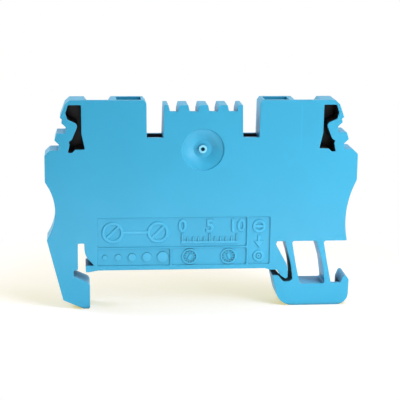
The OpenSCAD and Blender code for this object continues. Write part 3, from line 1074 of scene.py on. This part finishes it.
@dataclass
class LabelField:
    """Generic raised marks in the label field: symbol, strip gauge, wire sizes, date dials and arrows."""

    floor_y: float = -2.35
    relief: float = 0.18
    sunk: float = 0.03
    stroke: float = 0.4
    thin_stroke: float = 0.32
    draft: float = 0.14
    symbol_z: float = 14.25
    symbol_r: float = 1.9
    symbol_x: Span = (-16.2, -8.0)
    gauge_x: float = -3.6
    gauge_z: float = 12.3
    gauge_over: float = 0.15
    gauge_ticks: int = 11
    tick_w: float = 0.22
    tick_l: float = 1.0
    long_share: float = 1.6
    number_rise: float = 2.0
    number_h: float = 2.2
    dial_x: Span = (-2.2, 4.9)
    dial_z: float = 9.62
    dial_rim: Span = (1.42, 1.2)
    dial_ticks: int = 12
    dial_tick_r: float = 0.98
    dial_tick_w: float = 0.16
    dial_tick_l: float = 0.3
    pointers: tuple[tuple[Point, Point], ...] = (((-0.275, -0.45), (0.22, 0.4)), ((0.2, -0.45), (-0.16, 0.4)))
    sizes: int = 5
    sizes_x: float = -17.6
    sizes_step: Span = (2.3, 0.08)
    size_r: float = 0.42
    size_growth: float = 0.33
    signs_x: float = 10.5
    driver_z: float = 15.2
    driver_r: float = 1.15
    driver_slot: float = 0.85
    arrow_shaft: Span = (13.4, 12.3)
    arrow_head: Span = (12.35, 11.3)
    arrow_half: float = 0.75
    wire_z: float = 9.6
    wire_r: float = 1.0
    wire_core: Span = (0.42, 0.12)

    @property
    def middle_y(self) -> float:
        """Middle of the relief, between its sunk foot and its top."""
        return self.floor_y + (self.sunk - self.relief) / 2

    @property
    def depth(self) -> float:
        """Whole thickness of a mark, with the part sunk in the floor."""
        return self.relief + self.sunk

    def spot(self, x: float, z: float) -> Place:
        """A place in metres at the middle of the relief."""
        return (x * MM, self.middle_y * MM, z * MM)

    def symbol(self, marks: ReliefMesh) -> None:
        """Draws the feed-through symbol: a terminal point at each end of a line.

        Args:
            marks: The mesh that takes the shapes.
        """
        left, right = self.symbol_x
        inner = self.symbol_r - self.stroke / 2
        slope = inner * math.sqrt(0.5)
        for x in self.symbol_x:
            marks.ring((x, self.symbol_z), self.symbol_r, self.symbol_r - self.stroke)
            marks.bar((x - slope, self.symbol_z - slope), (x + slope, self.symbol_z + slope), self.stroke)
        marks.bar((left + inner, self.symbol_z), (right - inner, self.symbol_z), self.stroke)

    def gauge(self, marks: ReliefMesh) -> None:
        """Draws the strip gauge's base line and its numbers.

        Args:
            marks: The mesh that takes the shapes.
        """
        last = self.gauge_x + self.gauge_ticks - 1
        start, stop = self.gauge_x - self.gauge_over, last + self.gauge_over
        marks.bar((start, self.gauge_z), (stop, self.gauge_z), self.thin_stroke)
        for value in range(0, self.gauge_ticks, LONG_EVERY):
            marks.number(str(value), (self.gauge_x + value, self.gauge_z + self.number_rise), self.number_h)

    def operation(self, marks: ReliefMesh) -> None:
        """Draws the clamp's signs: a slotted driver, an arrow and a wire's end.

        Args:
            marks: The mesh that takes the shapes.
        """
        x, half = self.signs_x, self.arrow_half
        marks.ring((x, self.driver_z), self.driver_r, self.driver_r - self.stroke)
        marks.bar((x - self.driver_slot, self.driver_z), (x + self.driver_slot, self.driver_z), self.stroke)
        tail, neck = self.arrow_shaft
        marks.bar((x, tail), (x, neck), self.stroke)
        base, tip = self.arrow_head
        marks.plate([(x - half, base), (x, tip), (x + half, base)])
        marks.ring((x, self.wire_z), self.wire_r, self.wire_r - self.stroke)
        marks.ring((x, self.wire_z), *self.wire_core)

    def dials(self, marks: ReliefMesh) -> None:
        """Draws the rims and pointers of the moulding's date dials.

        Args:
            marks: The mesh that takes the shapes.
        """
        for x, pointer in zip(self.dial_x, self.pointers):
            marks.ring((x, self.dial_z), *self.dial_rim)
            tail, tip = ((x + across, self.dial_z + up) for across, up in pointer)
            marks.bar(tail, tip, self.thin_stroke)

    def build(self, material: bpy.types.Material) -> list[bpy.types.Object]:
        """Builds all the marks.

        Args:
            material: Their finish.

        Returns:
            The pieces.
        """
        marks = ReliefMesh(self.floor_y + self.sunk, self.floor_y - self.relief, self.draft)
        for draw in (self.symbol, self.gauge, self.operation, self.dials):
            draw(marks)
        pieces = [marks.finish("label_signs", material)]
        ends = {"Relief": self.depth * MM, "Finish": material}
        place = self.spot(self.gauge_x, self.gauge_z)
        ticks = {"Count": self.gauge_ticks, "Pitch": MM, "Long": self.long_share}
        ticks |= {"Width": self.tick_w * MM, "Length": self.tick_l * MM}
        pieces.append(tick_row().run("strip_gauge_ticks", {**ticks, **ends, "Place": place}))
        dial = tick_ring()
        ring = {"Count": self.dial_ticks, "Radius": self.dial_tick_r * MM}
        ring |= {"Width": self.dial_tick_w * MM, "Length": self.dial_tick_l * MM}
        for name, x in zip(("date_dial_left", "date_dial_right"), self.dial_x):
            pieces.append(dial.run(name, {**ring, **ends, "Place": self.spot(x, self.dial_z)}))
        step, more = self.sizes_step
        spots = [Vector((self.sizes_x + step * i + more * i * i, 0.0, 0.0)) * MM for i in range(self.sizes)]
        place = self.spot(0.0, self.dial_z)
        dots = {"Radius": self.size_r * MM, "Growth": self.size_growth}
        pieces.append(disc_set("wire_sizes").run("wire_size_dots", {**dots, **ends, "Place": place}, spots))
        for piece in pieces:
            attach(piece, Body.BLOCK.value)
        return pieces


@dataclass
class EjectorMarks:
    """Round witness marks of the ejector pins on the floor of the open side."""

    floor_y: float = -1.75
    relief: float = 0.04
    sunk: float = 0.03
    radius: float = 0.8
    bays_x: tuple[float, ...] = (-14.95, -6.9, 1.1, 9.0)
    bays_z: float = 11.75
    shoulders: tuple[Point, ...] = (
        (-24.2, 25.2), (24.2, 25.2), (-5.0, 33.0), (5.0, 33.0), (-5.0, 21.3), (5.0, 21.3),
    )

    def build(self, material: bpy.types.Material) -> bpy.types.Object:
        """Builds the marks.

        Args:
            material: Their finish.

        Returns:
            The piece.
        """
        spots = [(x, self.bays_z) for x in self.bays_x] + list(self.shoulders)
        points = [Vector((x, 0.0, z)) * MM for x, z in spots]
        values = {
            "Radius": self.radius * MM,
            "Growth": 0.0,
            "Relief": (self.relief + self.sunk) * MM,
            "Place": (0.0, (self.floor_y + (self.relief - self.sunk) / 2) * MM, 0.0),
            "Finish": material,
        }
        piece = disc_set("ejector_marks").run("ejector_marks", values, points)
        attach(piece, Body.BLOCK.value)
        return piece


@dataclass(frozen=True)
class SoftLight:
    """A rectangular lamp aimed at the block, with its place and size in metres and its power in watts."""

    name: str
    place: Place
    size: Span
    watts: float
    target: Place = (0.0, 0.0, 0.02)

    def build(self) -> bpy.types.Object:
        """Builds the lamp, which the camera doesn't see.

        Returns:
            The lamp.
        """
        data = bpy.data.lights.new(self.name, "AREA")
        data.shape = "RECTANGLE"
        data.size, data.size_y = self.size
        data.energy = self.watts
        lamp = new_piece(self.name, data)
        lamp.visible_camera = False
        aim = (Vector(self.target) - Vector(self.place)).to_track_quat("-Z", "Y")
        lamp.matrix_world = Matrix.Translation(self.place) @ aim.to_matrix().to_4x4()
        return lamp


SOFT_LIGHTS = (
    SoftLight("key_light", (0.12, -0.12, 0.16), (0.08, 0.08), 0.140),
    SoftLight("top_light", (0.05, -0.045, 0.20), (0.10, 0.10), 0.140),
    SoftLight("side_light", (0.13, -0.085, 0.045), (0.08, 0.08), 0.118),
    SoftLight("left_light", (-0.14, 0.05, 0.10), (0.08, 0.08), 0.150),
    SoftLight("foot_card", (0.003, -0.040, 0.002), (0.12, 0.010), 0.0135),
)


@dataclass
class Studio:
    """Floor, soft light and the photograph's camera."""

    image_px: float = 400.0
    focal_px: float = 1271.659
    sensor_mm: float = 36.0
    clip: Span = (0.005, 20.0)
    distance: float = 229.737
    target: Place = (-0.449, -2.55, 20.219)
    yaw: float = 5.736
    pitch: float = 13.297
    roll: float = -0.783
    floor_half: float = 3.0
    floor_pale: Colour = (0.85, 0.85, 0.84)
    floor_seen: Colour = (0.60, 0.62, 0.98)
    floor_lift: Colour = (0.54, 0.475, 0.085)
    floor_fade: Span = (0.036, 0.060)
    sky_turn: Span = (-0.5, 0.6)
    sky_levels: Span = (0.05, 0.3)
    lights: tuple[SoftLight, ...] = SOFT_LIGHTS

    def camera(self) -> bpy.types.Object:
        """Builds the camera and makes it the scene's own.

        Returns:
            The camera.
        """
        yaw, pitch, roll = (math.radians(a) for a in (self.yaw, self.pitch, self.roll))
        ahead = Vector((math.sin(yaw) * math.cos(pitch), math.cos(yaw) * math.cos(pitch), -math.sin(pitch)))
        right = Vector((math.cos(yaw), -math.sin(yaw), 0.0))
        down = ahead.cross(right)
        across = right * math.cos(roll) + down * math.sin(roll)
        up = right * math.sin(roll) - down * math.cos(roll)
        data = bpy.data.cameras.new("product_camera")
        data.sensor_width = self.sensor_mm
        data.sensor_fit = "HORIZONTAL"
        data.lens = self.focal_px / self.image_px * self.sensor_mm
        data.clip_start, data.clip_end = self.clip
        camera = new_piece("product_camera", data)
        turn = Matrix((across, up, -ahead)).transposed().to_4x4()
        camera.matrix_world = Matrix.Translation((Vector(self.target) - ahead * self.distance) * MM) @ turn
        bpy.context.scene.camera = camera
        return camera

    def floor(self) -> bpy.types.Object:
        """Builds the pale floor.

        Returns:
            The floor.
        """
        mesh = bpy.data.meshes.new("studio_floor")
        h = self.floor_half
        mesh.from_pydata([(-h, -h, 0), (h, -h, 0), (h, h, 0), (-h, h, 0)], [], [(0, 1, 2, 3)])
        floor = new_piece("studio_floor", mesh)
        mesh.materials.append(self.floor_finish())
        return floor

    def floor_finish(self) -> bpy.types.Material:
        """Builds the floor's material, which the camera sees as white but for the block's shadow.

        Returns:
            The material.
        """
        material, graph, plain = new_material("pale_floor")
        material.node_tree.nodes.remove(plain)
        seen = graph.plain_shader("ShaderNodeBsdfDiffuse", self.floor_seen)
        lift = graph.plain_shader("ShaderNodeEmission", self.floor_lift)
        near = graph.add("ShaderNodeAddShader", {0: seen, 1: lift})[0]
        where = graph.add("ShaderNodeTexCoord")["Object"]
        away = graph.add("ShaderNodeVectorMath", {0: where}, operation="LENGTH")["Value"]
        fade = graph.map_range(away, self.floor_fade, smooth=True)
        shown = graph.mix_shaders(fade, near, graph.plain_shader("ShaderNodeEmission", WHITE))
        pale = graph.plain_shader("ShaderNodeBsdfDiffuse", self.floor_pale)
        finish = graph.mix_shaders(self.seen_rays(graph), pale, shown)
        graph.link(finish, material.node_tree.nodes["Material Output"].inputs["Surface"])
        return material

    @staticmethod
    def seen_rays(graph: Graph) -> Socket:
        """Finds the rays that show the background, in the picture or in a gloss.

        Args:
            graph: The tree's graph.

        Returns:
            The socket that is 1 for these rays.
        """
        path = graph.add("ShaderNodeLightPath")
        shown = graph.math("MAXIMUM", path["Is Camera Ray"], path["Is Glossy Ray"])
        return graph.math("MAXIMUM", shown, path["Is Transmission Ray"])

    def world(self) -> None:
        """Makes the sky: white where the camera sees it, and a soft fill that is lighter behind the block."""
        world = bpy.data.worlds.new("studio_sky")
        world.use_nodes = True
        bpy.context.scene.world = world
        graph = Graph(world.node_tree)
        _, depth, _ = graph.parts(graph.add("ShaderNodeTexCoord")["Generated"])
        level = graph.map_range(depth, self.sky_turn, self.sky_levels, smooth=True)
        fill = world.node_tree.nodes["Background"]
        fill.inputs["Color"].default_value = (*WHITE, 1.0)
        graph.link(level, fill.inputs["Strength"])
        white = graph.plain_shader("ShaderNodeBackground", WHITE)
        sky = graph.mix_shaders(self.seen_rays(graph), fill.outputs[0], white)
        graph.link(sky, world.node_tree.nodes["World Output"].inputs["Surface"])

    def build(self) -> None:
        """Builds the whole studio."""
        self.world()
        self.floor()
        self.camera()
        for light in self.lights:
            light.build()
        bpy.context.scene.view_settings.view_transform = "Standard"


def main() -> None:
    """Builds the block's pieces and the studio in order."""
    logging.basicConfig(level=logging.INFO, format="%(name)s: %(message)s")
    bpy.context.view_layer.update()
    plastic, relief = BLUE_PLASTIC.build(), HIGHLIT_RELIEF_PLASTIC.build()
    tin, strip = BRIGHT_TIN.build(), SPRING_STRIP.build()
    pieces = [Housing().build(plastic), CurrentBar().build(tin), EjectorMarks().build(relief)]
    pieces += LabelField().build(relief)
    for end in End:
        pieces += ClampSpring(end).build(strip)
    for piece in pieces:
        LOG.info("%s: %d faces", piece.name, len(piece.data.polygons))
    Studio().build()


if __name__ == "__main__":
    main()
